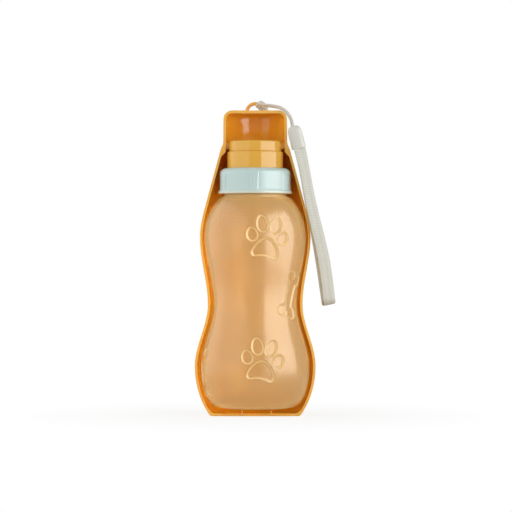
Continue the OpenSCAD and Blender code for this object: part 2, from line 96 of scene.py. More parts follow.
# Trough
WALL, FLOOR, END_WALL, END_EDGE = 1.8, 1.8, 2.1, 5.6
TRAY_LOW_R, TRAY_WAIST_R, TRAY_TOP_R = 42.2, 33.1, 38.65
FOOT_ARCH, SHOULDER_R, SHOULDER_Z = 52, 34, 150.0
EAR_R, THROAT_R = 24.3, 20.5
THROAT_OUT_R = THROAT_R + WALL
THROAT_TOP_Z = CAP_TOP_Z + 19.7
TRAY_TOP_Z = THROAT_TOP_Z + END_WALL
EAR_Z, EAR_TOP_Z = PIVOT_Z - PIN_R - 0.3, PIVOT_Z + PIN_R + 0.3
EAR_PAD_Z, EAR_FACE_Z = PIVOT_Z - PIN_R - 5.4, PIVOT_Z - PIN_R - 1
SHOULDER_SLOPE = (EAR_R - SHOULDER_R) / (EAR_Z - SHOULDER_Z)
RIM_FORWARD, END_SET_BACK, RIM_EDGE = 4.5, 4, 0.45
# Small ribs inside the foot: places across, how far back and how high their middles are
FLOOR_RIBS, FLOOR_RIB_Y, FLOOR_RIB_Z = (-9.1, 11.1), 3, FLOOR + 0.8
FLOOR_RIB_T, FLOOR_RIB_L, FLOOR_RIB_H, FLOOR_RIB_EDGE = 0.9, 14, 2.4, 0.25
LOOP_R, LOOP_BAR_R, LOOP_BACK = 5.95, 1.25, 19.2
LOOP_Z = TRAY_TOP_Z - 0.4
LOOP_FOOT_Z = LOOP_Z - 1.2
# Above the ears the trough's rim leans back to its end wall: by this angle, and on these two planes
SET_BACK = atan((RIM_FORWARD + END_SET_BACK) / (TRAY_TOP_Z - EAR_TOP_Z))
RIM_PLANES = [
    ((0, 1, 0), -RIM_FORWARD),
    ((0, cos(SET_BACK), -sin(SET_BACK)), -RIM_FORWARD * cos(SET_BACK) - EAR_TOP_Z * sin(SET_BACK)),
]
# Wrist strap
CORD_D, STRAND_GAP, STRAND_TURN = 1.5, 0.15, 52
# The hitch's pairs of turns: degrees round the loop from its right foot, and how askew they lie
UPPER_TURNS, LOWER_TURNS = (53, 0.7), (15, 0.1)
HITCH_CORD_D, HITCH_R, HITCH_STEPS = 1.9, 2.3, 24
HITCH_PITCH, HITCH_OUTWARD, HITCH_SKEW_SHIFT = 0.9, 0.12, 0.3
LEAD_OVERLAP, LEAD_FORWARD = 1.5, 0.6
# The doubled cord's middle line, from the axis at the trough's top; the hitch hides its start
CORD_ROUTE = [
    (1, 16, 3.4), (3.5, 14.6, 3.9), (7, 12.8, 4), (10.8, 10.4, 3.6), (14.6, 7, 2.8),
    (18.2, 3.2, 1.4), (21.3, -0.2, -1), (23.6, -2.8, -3.9), (25.1, -5, -7.1),
    (25.8, -6.6, -10.2), (26.5, -7.2, -13.2),
]
FIRST_SEEN, ROUTE_STEPS = 2, 5
END_CAP_FOOT = Vector((30.5, -7.2, TRAY_TOP_Z - 27.2))
END_CAP_W, END_CAP_T, END_CAP_H, END_CAP_LEAN = 9.9, 5.2, 16.2, 14
# From inside its mouth, out and up to its tip: shares of the end cap's height, width and thickness
END_CAP_STATIONS = [
    (0.16, 0.84, 0.62), (0.0, 0.84, 0.62), (0.0, 0.97, 0.94), (0.02, 1, 1), (0.62, 1, 1),
    (0.76, 0.97, 0.97), (0.86, 0.89, 0.9), (0.93, 0.76, 0.78), (0.975, 0.58, 0.6), (1, 0.34, 0.36),
]
WEBBING_W, WEBBING_T, WEBBING_H, WEBBING_LEAN = 8.2, 1.1, 111.0, 11.3
WEBBING_FOLD_R, WEBBING_BULGE, WEBBING_TUCK = 0.62, 1.5, 2.5
LAY_STEPS, FOLD_STEPS = 7, 8
# How the layers lie, from the end cap down: front and rear layer's shift to the right, their twists
WEBBING_LAY = [
    (0.3, 0.5, 6, 6), (0.1, 1.6, 30, 30), (-0.3, 1.4, 31, 31), (-0.12, 1.16, 26, 12),
    (0.85, 0.53, 18, 0), (1.45, -0.7, 12, -18), (0.95, -1.2, 8, -14), (-0.05, -1.55, 0, 0),
]


# ---------------------------------------------------------------- colours and shader nodes
def linear(hex_colour):
    """An sRGB hex colour as linear RGBA."""
    shares = [int(hex_colour[i : i + 2], 16) / 255 for i in (1, 3, 5)]
    return [c / 12.92 if c <= 0.04045 else ((c + 0.055) / 1.055) ** 2.4 for c in shares] + [1.0]


def add_node(tree, kind, settings=None, links=None):
    """Adds a shader node; settings are properties or unlinked sockets, links the linked sockets."""
    node = tree.nodes.new(kind)
    for name, value in (settings or {}).items():
        if isinstance(name, str) and hasattr(node, name):
            setattr(node, name, value)
        else:
            node.inputs[name].default_value = value
    for name, source in (links or {}).items():
        tree.links.new(source, node.inputs[name])
    return node


def new_material(name):
    """An empty node material and its tree."""
    material = bpy.data.materials.new(name)
    material.use_nodes = True
    material.node_tree.nodes.clear()
    return material, material.node_tree


def moulded_plastic(
    name, colour, deep, roughness, gloss_spread=0.03, peel=0.08, edge=None, **shader
):
    """Injection-moulded plastic: faint colour flow, and a gloss and skin that vary a little.

    colour and deep are the two ends of the flow, which runs over about 14 mm; the skin's
    orange peel is 0.8 mm across. edge is painted light: a paler colour painted where the wall ends,
    for the light that enters a dyed plastic there: (colour, depth in mm, planes as (normal, offset
    in mm))."""
    material, tree = new_material(name)
    place = add_node(tree, "ShaderNodeTexCoord").outputs["Object"]
    flow = add_node(
        tree, "ShaderNodeTexNoise", {"Scale": 1 / (14 * MM), "Detail": 3.0}, {"Vector": place}
    )
    peel_noise = add_node(
        tree, "ShaderNodeTexNoise", {"Scale": 1 / (0.8 * MM), "Detail": 2.0}, {"Vector": place}
    )
    tint = add_node(
        tree, "ShaderNodeMix", {"data_type": "RGBA", 6: linear(colour), 7: linear(deep)},
        {0: flow.outputs[0]},
    )
    # painted light: the colour turns paler within depth of the planes, where the wall ends
    if edge:
        painted_light_colour, depth, planes = edge
        inside = []
        for normal, offset in planes:
            along = add_node(
                tree, "ShaderNodeVectorMath", {"operation": "DOT_PRODUCT", 1: normal}, {0: place}
            )
            inside.append(add_node(
                tree, "ShaderNodeMath", {"operation": "SUBTRACT", 1: offset * MM},
                {0: along.outputs["Value"]},
            ))
        nearest = add_node(
            tree, "ShaderNodeMath", {"operation": "MINIMUM"},
            {0: inside[0].outputs[0], 1: inside[-1].outputs[0]},
        )
        glow = add_node(
            tree, "ShaderNodeMapRange",
            {
                "interpolation_type": "SMOOTHSTEP", "From Min": 0.0, "From Max": depth * MM,
                "To Min": 1.0, "To Max": 0.0,
            },
            {"Value": nearest.outputs[0]},
        )
        tint = add_node(
            tree, "ShaderNodeMix", {"data_type": "RGBA", 7: linear(painted_light_colour)},
            {0: glow.outputs[0], 6: tint.outputs[2]},
        )
    gloss = add_node(
        tree, "ShaderNodeMapRange",
        {"To Min": roughness - gloss_spread, "To Max": roughness + gloss_spread},
        {"Value": flow.outputs[0]},
    )
    bump = add_node(
        tree, "ShaderNodeBump", {"Strength": peel, "Distance": 0.04 * MM},
        {"Height": peel_noise.outputs[0]},
    )
    surface = add_node(
        tree, "ShaderNodeBsdfPrincipled", shader,
        {"Base Color": tint.outputs[2], "Roughness": gloss.outputs[0], "Normal": bump.outputs[0]},
    )
    add_node(tree, "ShaderNodeOutputMaterial", {}, {"Surface": surface.outputs[0]})
    return material


def frosted_ldpe():
    """LDPE blown in a blasted mould: its fine skin blurs what lies behind, and its body is milky.

    The skin's haze drifts over about 20 mm, and its grain is 0.5 mm. The steep walls of a pressed
    mark are seen edge on, through more plastic, so they are milkier: the attribute "steep" gives
    their share. Lamps shine through it, as they do through the real wall."""
    material, tree = new_material("LDPE, blow-moulded in a blasted mould")
    place = add_node(tree, "ShaderNodeTexCoord").outputs["Object"]
    cloud = add_node(
        tree, "ShaderNodeTexNoise", {"Scale": 1 / (20 * MM), "Detail": 2.0}, {"Vector": place}
    )
    grain = add_node(
        tree, "ShaderNodeTexNoise", {"Scale": 1 / (0.5 * MM), "Detail": 2.0}, {"Vector": place}
    )
    steep = add_node(tree, "ShaderNodeAttribute", {"attribute_name": "steep"})
    haze = add_node(
        tree, "ShaderNodeMapRange", {"To Min": 0.2, "To Max": 0.24}, {"Value": cloud.outputs[0]}
    )
    clear = add_node(
        tree, "ShaderNodeMapRange", {"To Min": 0.74, "To Max": 0.34},
        {"Value": steep.outputs["Fac"]},
    )
    bump = add_node(
        tree, "ShaderNodeBump", {"Strength": 0.06, "Distance": 0.02 * MM},
        {"Height": grain.outputs[0]},
    )
    # The warm base colour is partly the LDPE's own yellowish tone and partly painted orange bounce
    # light
    body = add_node(
        tree, "ShaderNodeBsdfPrincipled", {"Base Color": linear("#f4d698"), "IOR": 1.5},
        {
            "Roughness": haze.outputs[0], "Normal": bump.outputs[0],
            "Transmission Weight": clear.outputs[0],
        },
    )
    lit_through = add_node(tree, "ShaderNodeBsdfTransparent", {"Color": linear("#fbf6ea")})
    rays = add_node(tree, "ShaderNodeLightPath")
    both = add_node(
        tree, "ShaderNodeMixShader", {},
        {0: rays.outputs["Is Shadow Ray"], 1: body.outputs[0], 2: lit_through.outputs[0]},
    )
    add_node(tree, "ShaderNodeOutputMaterial", {}, {"Surface": both.outputs[0]})
    return material


def woven_material(name, colour, shade, thread, slant, relief, painted_shade=None):
    """Polyester yarn, woven or braided: slanted threads that cross, on the piece's UV map in mm.

    The real yarns are about 0.35 mm; thread is as coarse as they need to be to show.
    painted_shade is painted shade that darkens the lowest part, the underside of the fold: (colour,
    its share at the lowest place, the height of that place, the height of its end)."""
    material, tree = new_material(name)
    uv = add_node(tree, "ShaderNodeUVMap")
    parts = add_node(tree, "ShaderNodeSeparateXYZ", {}, {0: uv.outputs[0]})
    ridges = []
    for side in (-1, 1):
        lean = add_node(
            tree, "ShaderNodeMath", {"operation": "MULTIPLY", 1: side * slant},
            {0: parts.outputs[0]},
        )
        run = add_node(
            tree, "ShaderNodeMath", {"operation": "ADD"}, {0: lean.outputs[0], 1: parts.outputs[1]}
        )
        turn = add_node(
            tree, "ShaderNodeMath", {"operation": "MULTIPLY", 1: 2 * pi / thread},
            {0: run.outputs[0]},
        )
        ridges.append(add_node(tree, "ShaderNodeMath", {"operation": "SINE"}, {0: turn.outputs[0]}))
    weave = add_node(
        tree, "ShaderNodeMath", {"operation": "MAXIMUM"},
        {0: ridges[0].outputs[0], 1: ridges[1].outputs[0]},
    )
    height = add_node(tree, "ShaderNodeMapRange", {"From Min": -1.0}, {"Value": weave.outputs[0]})
    tint = add_node(
        tree, "ShaderNodeMix", {"data_type": "RGBA", 6: linear(shade), 7: linear(colour)},
        {0: height.outputs[0]},
    )
    # painted shade: the colour darkens towards the lowest part of the piece
    if painted_shade:
        fold_shade_colour, most, lowest, end = painted_shade
        place = add_node(tree, "ShaderNodeTexCoord").outputs["Object"]
        up = add_node(tree, "ShaderNodeSeparateXYZ", {}, {0: place})
        share = add_node(
            tree, "ShaderNodeMapRange",
            {"From Min": lowest * MM, "From Max": end * MM, "To Min": most, "To Max": 0.0},
            {"Value": up.outputs[2]},
        )
        tint = add_node(
            tree, "ShaderNodeMix", {"data_type": "RGBA", 7: linear(fold_shade_colour)},
            {0: share.outputs[0], 6: tint.outputs[2]},
        )
    bump = add_node(
        tree, "ShaderNodeBump", {"Strength": 0.7, "Distance": relief * MM},
        {"Height": height.outputs[0]},
    )
    surface = add_node(
        tree, "ShaderNodeBsdfPrincipled",
        {"Roughness": 0.85, "Sheen Weight": 0.3, "Sheen Roughness": 0.5, "IOR": 1.5},
        {"Base Color": tint.outputs[2], "Normal": bump.outputs[0]},
    )
    add_node(tree, "ShaderNodeOutputMaterial", {}, {"Surface": surface.outputs[0]})
    return material


PALE_ORANGE = "#f8c060"
# Blow-moulded in a blasted mould: satin, with wide highlights, and it blurs the trough behind it
LDPE = frosted_ldpe()
# Polished moulds leave polypropylene glossy; its paler rim is painted light, for light entering the
# wall
TROUGH_PP = moulded_plastic(
    "polypropylene, orange, polished mould", "#fcb93e", "#f9b334", roughness=0.08,
    gloss_spread=0.015, edge=(PALE_ORANGE, 2.4, RIM_PLANES), IOR=1.49,
    **{"Subsurface Weight": 0.5, "Subsurface Scale": 2.5 * MM, "Subsurface Radius": (1, 0.5, 0.1)},
)
# The loop is the same moulding, so thin that all of it is as pale as the rim
LOOP_PP = moulded_plastic(
    "polypropylene, orange, thin bar", PALE_ORANGE, "#ecab49", roughness=0.1, gloss_spread=0.015,
    IOR=1.49,
)
# The spout's dye is pale and dense: an even, opaque amber with sharp upright highlights
SPOUT_PP = moulded_plastic(
    "polypropylene, amber, polished mould", "#ebb348", "#e7ae42", roughness=0.09,
    gloss_spread=0.015, IOR=1.49,
)
# The collar's mould is matt, so its highlights are wide, and an IOR above the usual 1.49 keeps them
# from fading away; a warm pale glow is painted on its thin flange, as painted light
COLLAR_PP = moulded_plastic(
    "polypropylene, pale mint, matt mould", "#c4dad6", "#bfd5d1", roughness=0.33,
    edge=("#e6e6d2", 2.4, [((0, 0, 1), COLLAR_Z)]), IOR=1.6,
)
# ABS from a matt mould: opaque, with a soft sheen and no clear reflection
CAP_ABS = moulded_plastic(
    "ABS, off-white, matt mould", "#d8d7cd", "#d3d2c8", roughness=0.45, IOR=1.52
)
# Silicone is dull and lets light a little way in, so its edges look soft
SILICONE = moulded_plastic(
    "silicone rubber, clear-white, press-moulded", "#e4e2d8", "#dcdacf", roughness=0.5, IOR=1.41,
    **{"Subsurface Weight": 0.3, "Subsurface Scale": 1.5 * MM, "Subsurface Radius": (1, 0.9, 0.8)},
)
# Braided polyester: dull, with crossing strands that show as small dark dents
CORD_YARN = woven_material(
    "polyester cord, round braid", "#e4dfd4", "#c2b9ab", thread=0.9, slant=0.6, relief=0.12
)
# Woven polyester: rows of fine ribs across its width, and painted shade under its fold at the
# bottom
WEBBING_YARN = woven_material(
    "polyester webbing, plain weave", "#dddcd0", "#c8c5b6", thread=1.15, slant=0.16, relief=0.16,
    painted_shade=("#a08c70", 0.75, 77.5, 82.5),
)


# ---------------------------------------------------------------- outlines, as (radius, height)
def bend(z0, r0, s0, z1, r1, s1, n):
    """A smooth step between two radii, with these slopes at its ends, without the last point."""
    h = z1 - z0
    points = []
    for i in range(n):
        t = i / n
        radius = (2 * t**3 - 3 * t * t + 1) * r0 + (t**3 - 2 * t * t + t) * h * s0
        radius += (3 * t * t - 2 * t**3) * r1 + (t**3 - t * t) * h * s1
        points.append((radius, z0 + h * t))
    return points


def base_curve(flat_r, bulge_r, flat_z, bulge_z, n):
    """A quarter of a squarish ellipse, from a flat base out to a bulge, without the last point."""
    turns = [pi / 2 * i / n for i in range(n)]
    return [
        (
            flat_r + (bulge_r - flat_r) * sin(a) ** BASE_SQUARE,
            bulge_z - (bulge_z - flat_z) * cos(a) ** BASE_SQUARE,
        )
        for a in turns
    ]


def arch_curve(wide_r, mid_z, arch, start, end, n):
    """Part of an ellipse centred on the axis, between two angles above its widest place."""
    turns = [start + (end - start) * i / n for i in range(n + 1)]
    return [(wide_r * cos(a), mid_z + arch * sin(a)) for a in turns]


def edge_curve(r, z, edge, n=8):
    """A quarter round between an upright side at radius r and a flat top at height z."""
    turns = [pi / 2 * i / n for i in range(n + 1)]
    return [(r - edge + edge * cos(a), z - edge + edge * sin(a)) for a in turns]


def push_up_curve(hollow_r, flat_z, n):
    """The hollow of the bottle's base, from the axis out to its foot ring."""
    return [(hollow_r * i / n, flat_z + PUSH_UP * (1 - (i / n) ** 2)) for i in range(n + 1)]


def shoulder_curve(wide_r, arch, end_r, n):
    """A squarish arch from the upper bulge in to the neck."""
    end = acos((end_r / wide_r) ** (1 / SHOULDER_SQUARE))
    turns = [end * i / n for i in range(n + 1)]
    return [(wide_r * cos(a) ** SHOULDER_SQUARE, TOP_Z + arch * sin(a)) for a in turns]


def bottle_outline(inset, arch, end_r):
    """The bottle's outside, or at an inset its inside, from the base's middle to radius end_r."""
    low, waist, top = BOTTLE_LOW_R - inset, BOTTLE_WAIST_R - inset, BOTTLE_TOP_R - inset
    return (
        push_up_curve(BOTTLE_BASE_R - FOOT_RING_W, BASE_Z + inset, 10)
        + base_curve(BOTTLE_BASE_R - inset, low, BASE_Z + inset, LOW_Z, 26)
        + bend(LOW_Z, low, 0, WAIST_Z, waist, 0, 32)
        + bend(WAIST_Z, waist, 0, TOP_Z, top, 0, 34)
        + shoulder_curve(top, arch, end_r, 30)
    )


def tray_wall_curve(inset, low):
    """The trough's wall, at an inset from its outside, from height low up to its shoulder."""
    arch = FOOT_ARCH - inset
    low_r, waist, top = TRAY_LOW_R - inset, TRAY_WAIST_R - inset, TRAY_TOP_R - inset
    return (
        arch_curve(low_r, LOW_Z, arch, asin((low - LOW_Z) / arch), -pi / 40, 19)
        + bend(LOW_Z, low_r, 0, WAIST_Z, waist, 0, 26)
        + bend(WAIST_Z, waist, 0, TOP_Z, top, 0, 28)
        + bend(TOP_Z, top, 0, SHOULDER_Z, SHOULDER_R - inset, SHOULDER_SLOPE, 16)
    )


def tray_outside():
    """The trough's outside, from the axis under its foot to the axis on its end wall."""
    wall = tray_wall_curve(0, 0)
    foot_r = wall[0][0]
    straight = bend(SHOULDER_Z, SHOULDER_R, SHOULDER_SLOPE, EAR_Z, EAR_R, SHOULDER_SLOPE, 14)
    ear = bend(EAR_Z, EAR_R, SHOULDER_SLOPE, EAR_TOP_Z, THROAT_OUT_R, 0, 10)
    # Three points round the edge of the foot, below the wall's own
    return (
        [(0, 0), (foot_r - 0.9, 0), (foot_r - 0.2, 0.18), (foot_r + 0.25, 0.6)]
        + [p for p in wall if p[1] > 1] + straight + ear
        + edge_curve(THROAT_OUT_R, TRAY_TOP_Z, END_EDGE) + [(0, TRAY_TOP_Z)]
    )


def tray_inside():
    """The trough's inside, where pads stand in from the ears to hold the pins."""
    pad_r = SHOULDER_R - WALL + SHOULDER_SLOPE * (EAR_PAD_Z - SHOULDER_Z)
    straight = bend(
        SHOULDER_Z, SHOULDER_R - WALL, SHOULDER_SLOPE, EAR_PAD_Z, pad_r, SHOULDER_SLOPE, 12
    )
    ear = bend(EAR_PAD_Z, pad_r, SHOULDER_SLOPE, EAR_FACE_Z, THROAT_R, 0, 8)
    wall = tray_wall_curve(WALL, FLOOR)
    corner = wall[0][0]
    # Three points fill the corner between floor and wall, below the wall's own
    return (
        [(0, FLOOR), (corner - 2.4, FLOOR)]
        + [(corner - 1.0, FLOOR + 0.35), (corner + 0.15, FLOOR + 1.2)]
        + [p for p in wall if p[1] > FLOOR + 1.6] + straight + ear
        + edge_curve(THROAT_R, THROAT_TOP_Z, END_EDGE - END_WALL) + [(0, THROAT_TOP_Z)]
    )


# ---------------------------------------------------------------- mesh helpers
def spin_outline(bm, points, steps, angle=2 * pi):
    """Turns an outline round the Z axis; a full turn closes on itself."""
    verts = [bm.verts.new((r * MM, 0, z * MM)) for r, z in points]
    edges = [bm.edges.new(pair) for pair in zip(verts, verts[1:])]
    bmesh.ops.spin(
        bm, geom=verts + edges, axis=(0, 0, 1), cent=(0, 0, 0), dvec=(0, 0, 0), angle=angle,
        steps=steps, use_merge=angle > 6, use_normal_flip=False, use_duplicate=False,
    )
    bmesh.ops.remove_doubles(bm, verts=bm.verts, dist=0.004 * MM)


def spin_ring(points, steps):
    """A closed outline turned into a ring-shaped solid."""
    bm = bmesh.new()
    spin_outline(bm, points + points[:1], steps)
    return bm


def add_rod(bm, radius, start, end, sides=48, edge=0.0):
    """A closed round rod between two points, its ends' edges rounded by edge."""
    start, end = Vector(start), Vector(end)
    turn = (end - start).to_track_quat("Z", "Y").to_matrix().to_4x4()
    rod = bmesh.ops.create_cone(
        bm, cap_ends=True, segments=sides, radius1=radius * MM, radius2=radius * MM,
        depth=(end - start).length * MM, matrix=Matrix.Translation((start + end) / 2 * MM) @ turn,
    )
    if edge:
        rims = {
            e for v in rod["verts"] for e in v.link_edges
            if any(len(f.verts) > 4 for f in e.link_faces)
        }
        bmesh.ops.bevel(
            bm, geom=list(rims), offset=edge * MM, offset_type="OFFSET", segments=3, profile=0.5,
            affect="EDGES", clamp_overlap=True, material=-1,
        )


def to_object(name, bm):
    """A new object from a bmesh, with its faces turned outwards."""
    bmesh.ops.recalc_face_normals(bm, faces=bm.faces)
    mesh = bpy.data.meshes.new(name)
    bm.to_mesh(mesh)
    bm.free()
    piece = bpy.data.objects.new(name, mesh)
    bpy.context.scene.collection.objects.link(piece)
    return piece


def combine(piece, bm, operation):
    """Joins another closed solid to a piece, or cuts it out."""
    other = to_object("tool", bm)
    change = piece.modifiers.new("solid", "BOOLEAN")
    change.operation, change.solver, change.object = operation, "EXACT", other
    ready = piece.evaluated_get(bpy.context.evaluated_depsgraph_get())
    old, piece.data = piece.data, bpy.data.meshes.new_from_object(ready)
    piece.modifiers.clear()
    bpy.data.meshes.remove(old)
    bpy.data.meshes.remove(other.data)


def finish_piece(piece, body, material, replaces=(), smooth_angle=35):
    """Shades a piece smooth up to an angle, gives it its finish and lets it ride on a body."""
    mesh = piece.data
    mesh.polygons.foreach_set("use_smooth", [True] * len(mesh.polygons))
    mesh.set_sharp_from_angle(angle=radians(smooth_angle))
    mesh.materials.clear()
    mesh.materials.append(material)
    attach(piece, body)
    if replaces:
        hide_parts(*replaces)
    return piece


def smooth_route(points, n):
    """A Catmull-Rom curve through the points, with n steps between each two."""
    route = []
    ends = [2 * points[0] - points[1]] + points + [2 * points[-1] - points[-2]]
    for a, b, c, d in zip(ends, ends[1:], ends[2:], ends[3:]):
        for i in range(n):
            t = i / n
            bent = (2 * a - 5 * b + 4 * c - d) * t * t + (3 * b - a - 3 * c + d) * t**3
            route.append(0.5 * (2 * b + (c - a) * t + bent))
    return route + [points[-1]]


def squarish_section(width, thickness, power_x, power_y, sides):
    """A closed section between an ellipse and a rectangle: powers of 1 give the ellipse."""
    turns = [2 * pi * k / sides for k in range(sides)]
    return [
        (
            width / 2 * copysign(abs(cos(a)) ** power_x, cos(a)),
            thickness / 2 * copysign(abs(sin(a)) ** power_y, sin(a)),
        )
        for a in turns
    ]


def way_along(route):
    """The direction of a route at each of its points, from the point before to the one after."""
    last = len(route) - 1
    return [(route[min(i + 1, last)] - route[max(i - 1, 0)]).normalized() for i in range(last + 1)]


def add_sweep(bm, section, route, sides_of):
    """Sweeps a closed section (points across and up, in mm) along a route, with its UV map in mm.

    sides_of(i) gives the section's two directions at the route's point i."""
    layer = bm.loops.layers.uv.verify()
    around = [0.0]
    for a, b in zip(section, section[1:] + section[:1]):
        around.append(around[-1] + hypot(b[0] - a[0], b[1] - a[1]))
    rings, travelled = [], [0.0]
    for i, middle in enumerate(route):
        across, up = sides_of(i)
        rings.append([bm.verts.new((middle + across * x + up * y) * MM) for x, y in section])
        if i:
            travelled.append(travelled[-1] + (middle - route[i - 1]).length)
    count = len(section)
    for i in range(len(route) - 1):
        for k in range(count):
            far = (k + 1) % count
            face = bm.faces.new((rings[i][k], rings[i][far], rings[i + 1][far], rings[i + 1][k]))
            places = [(k, i), (k + 1, i), (k + 1, i + 1), (k, i + 1)]
            for loop, (side, step) in zip(face.loops, places):
                loop[layer].uv = (around[side], travelled[step])
    bm.faces.new(rings[0])
    bm.faces.new(rings[-1])


def add_cord(bm, route, diameter, sides=14):
    """A round cord along a route; its sides never twist."""
    ahead = way_along(route)
    ups = [ahead[0].orthogonal().normalized()]
    for along in ahead[1:]:
        ups.append((ups[-1] - along * ups[-1].dot(along)).normalized())
    turns = [2 * pi * k / sides for k in range(sides)]
    section = [(diameter / 2 * cos(a), diameter / 2 * sin(a)) for a in turns]
    add_sweep(bm, section, route, lambda i: (ahead[i].cross(ups[i]), ups[i]))


# ---------------------------------------------------------------- cords and strap
def cord_strands():
    """The doubled cord's two strands, from the hitch on; the upper is in front of the lower."""
    top = Vector((0, 0, TRAY_TOP_Z))
    whole = smooth_route([Vector(point) + top for point in CORD_ROUTE], ROUTE_STEPS)
    middle = whole[FIRST_SEEN * ROUTE_STEPS :]
    back, turn = Vector((0, 1, 0)), radians(STRAND_TURN)
    strands = []
    for side in (1, -1):
        route = []
        for point, along in zip(middle, way_along(middle)):
            across = along.cross(back).normalized() * cos(turn) - back * sin(turn)
            route.append(point + across * side * (CORD_D + STRAND_GAP) / 2)
        strands.append(route)
    return strands


def build_strap():
    """The wrist strap: the doubled cord, the hitch that holds it, the end cap and the webbing."""
    cap = build_end_cap()
    webbing, path = build_webbing()
    for name, route in zip(("upper", "lower"), cord_strands()):
        bm = bmesh.new()
        add_cord(bm, route, CORD_D)
        strand = finish_piece(
            to_object(f"cord_strand_{name}", bm), "strap", CORD_YARN, ["strap_cord"],
            smooth_angle=60,
        )
    build_hitch()


def build_end_cap():
    """A flattened dome with an open mouth at its foot, where the webbing is welded in."""
    bm = bmesh.new()
    section = squarish_section(END_CAP_W, END_CAP_T, power_x=0.62, power_y=0.8, sides=40)
    rings = []
    for height, wide, thick in END_CAP_STATIONS:
        corners = [(x * wide, y * thick, height * END_CAP_H) for x, y in section]
        rings.append([bm.verts.new(Vector(corner) * MM) for corner in corners])
    for low, high in zip(rings, rings[1:]):
        for k in range(len(section)):
            bm.faces.new((low[k - 1], low[k], high[k], high[k - 1]))
    bm.faces.new(rings[0])
    bm.faces.new(rings[-1])
    lean = Matrix.Rotation(radians(-END_CAP_LEAN), 4, "Y")
    bmesh.ops.transform(bm, matrix=Matrix.Translation(END_CAP_FOOT * MM) @ lean, verts=bm.verts)
    piece = to_object("cord_end", bm)
    return finish_piece(piece, "strap", CAP_ABS, ["cord_end_cap"])


def webbing_line():
    """The webbing's middle line and width direction: down in front, round the fold, up behind."""
    lean = Matrix.Rotation(radians(-WEBBING_LEAN), 3, "Y")
    down, side = lean @ Vector((0, 0, -1)), lean @ Vector((1, 0, 0))
    back = Vector((0, 1, 0))
    lay = smooth_route([Vector(row) for row in WEBBING_LAY], LAY_STEPS)
    drop = WEBBING_H + WEBBING_TUCK - WEBBING_FOLD_R - WEBBING_T / 2
    path, wide = [], []
    for layer in (-1, 1):
        for i in range(len(lay))[::-layer]:
            front, rear, front_twist, rear_twist = lay[i]
            share = i / (len(lay) - 1)
            # The layers part soon below the end cap and meet again at the fold
            spread = WEBBING_FOLD_R + WEBBING_BULGE * sin(pi * min(share, 0.9999)) ** 0.35
            shift = front if layer < 0 else rear
            foot = END_CAP_FOOT + down * (share * drop - WEBBING_TUCK)
            turn = radians(front_twist if layer < 0 else rear_twist)
            apart = back * cos(turn) - side * sin(turn)
            path.append(foot + side * shift + apart * layer * spread)
            wide.append(side * cos(turn) + back * sin(turn))
        if layer < 0:
            foot, foot_wide, across = path[-1], wide[-1], lay[-1][1] - lay[-1][0]
            for k in range(1, FOLD_STEPS):
                a = pi * k / FOLD_STEPS
                swing = side * across * k / FOLD_STEPS + apart * spread * (1 - cos(a))
                path.append(foot + swing + down * WEBBING_FOLD_R * sin(a))
                wide.append(foot_wide)
    return path, wide


def build_webbing():
    """One length of flat webbing, folded once, with both its ends in the end cap."""
    path, wide = webbing_line()
    ahead = way_along(path)
    section = squarish_section(WEBBING_W, WEBBING_T, power_x=0.35, power_y=0.45, sides=28)
    bm = bmesh.new()
    add_sweep(bm, section, path, lambda i: (wide[i], ahead[i].cross(wide[i]).normalized()))
    piece = to_object("wrist_webbing", bm)
    finish_piece(piece, "strap", WEBBING_YARN, ["strap_webbing"], smooth_angle=60)
    return piece, path


def hitch_turns(angle, skew):
    """Two slanting turns of cord round the hanging loop's bar, which start and end behind it.

    angle is their place on the loop, from its right foot."""
    a = radians(angle)
    middle = Vector((LOOP_R * cos(a), LOOP_BACK, LOOP_Z + LOOP_R * sin(a)))
    outward, along = Vector((cos(a), 0, sin(a))), Vector((-sin(a), 0, cos(a)))
    front = Vector((0, -1, 0))
    points = []
    for i in range(2 * HITCH_STEPS + 1):
        t = 2 * pi * i / HITCH_STEPS - pi / 2
        rise = (i / HITCH_STEPS - 1) * HITCH_CORD_D * HITCH_PITCH
        rise += skew * (HITCH_SKEW_SHIFT + sin(t))
        ring = outward * (cos(t) + HITCH_OUTWARD) + front * sin(t)
        points.append(middle + ring * HITCH_R + along * rise)
    return points


def build_hitch():
    """The cord's hitch: two turns over the bar, two round its foot, and leads to the strands."""
    bm = bmesh.new()
    upper, lower = hitch_turns(*UPPER_TURNS), hitch_turns(*LOWER_TURNS)
    add_cord(bm, upper, HITCH_CORD_D)
    add_cord(bm, lower, HITCH_CORD_D)
    feet = (upper[3 * HITCH_STEPS // 2], lower[HITCH_STEPS // 2])
    for strand, foot in zip(cord_strands(), feet):
        before = strand[0] + (strand[0] - strand[1]) * LEAD_OVERLAP
        bow = (foot + before) / 2 + Vector((0, -LEAD_FORWARD, 0))
        add_cord(bm, smooth_route([foot, bow, before], ROUTE_STEPS) + [strand[0]], CORD_D)
    piece = to_object("cord_hitch", bm)
    finish_piece(piece, "strap", CORD_YARN, ["cord_knot"], smooth_angle=60)


# ---------------------------------------------------------------- squeeze bottle
def smooth_max(a, b, blend):
    """The larger of two distances, rounded over where they are within blend of each other."""
    h = max(blend - abs(a - b), 0) / blend
    return max(a, b) + h * h * blend / 4


def smooth_step(t):
    """An S-shaped run from 0 to 1, as t goes from 0 to 1."""
    t = min(max(t, 0), 1)
    return t * t * (3 - 2 * t)


def circle_distance(u, v, x, y, r):
    """How far a point lies outside a circle."""
    return hypot(u - x, v - y) - r


def toe_distance(u, v, w, h):
    """About how far a point lies outside an egg of width w and height h."""
    a, b = w / 2 * (1 - TOE_TAPER * v / h), h / 2
    level = hypot(u / a, v / b)
    return (level - 1) * level / max(hypot(u / a**2, v / b**2), 1e-6)


